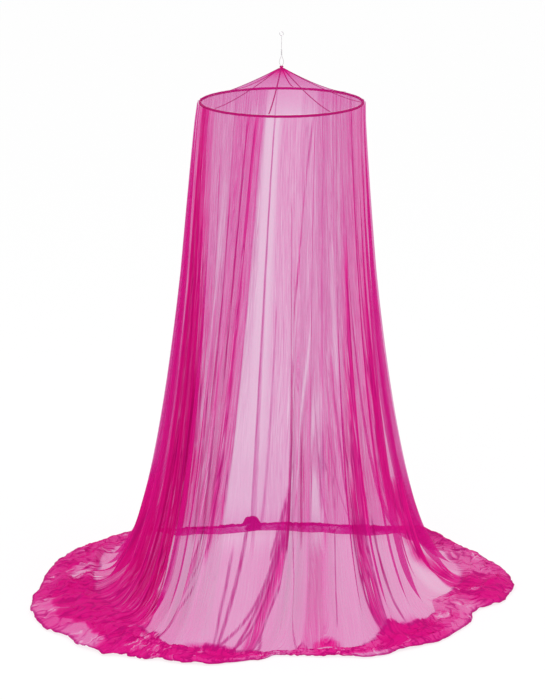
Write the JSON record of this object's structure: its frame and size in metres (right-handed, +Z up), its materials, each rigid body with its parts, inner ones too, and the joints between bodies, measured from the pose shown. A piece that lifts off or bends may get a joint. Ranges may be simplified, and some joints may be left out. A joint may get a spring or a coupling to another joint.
{
  "type": "mosquito net canopy on its hoop",
  "caption": "Full sheer net that falls from a covered round hoop with a low pointed crown and lies out in folds on the floor, hung from a ceiling by a clear line and ring.",
  "frame": {"origin": "centre of the ring that hangs on the ceiling's hook, on the hoop's axis", "axes": "+Z up along the hanging line, +Y away from the viewer through the narrow way of the net's spread, +X to the viewer's right"},
  "size_m": [1.869, 1.4681, 2.1653],
  "materials": {
    "net": "sheer dyed polyester net, matt with a faint sheen",
    "binding": "woven tape and net gathered tight, matt",
    "rod": "smooth round rod, hidden in its casing",
    "clear_line": "clear nylon line",
    "ring_steel": "bright bent wire"
  },
  "bodies": {
    "root": {"ceiling_ring": "ring_steel", "crown_binding": "binding", "crown_net": "net", "crown_seam_1": "binding", "crown_seam_2": "binding", "crown_seam_3": "binding", "crown_seam_4": "binding", "crown_seam_5": "binding", "crown_seam_6": "binding", "crown_seam_7": "binding", "crown_seam_8": "binding", "drape_back": "net", "drape_front": "net", "hanging_knot": "clear_line", "hanging_line": "clear_line", "hanging_loop": "clear_line", "hoop": "rod", "hoop_sleeve": "binding"}
  },
  "joints": []
}
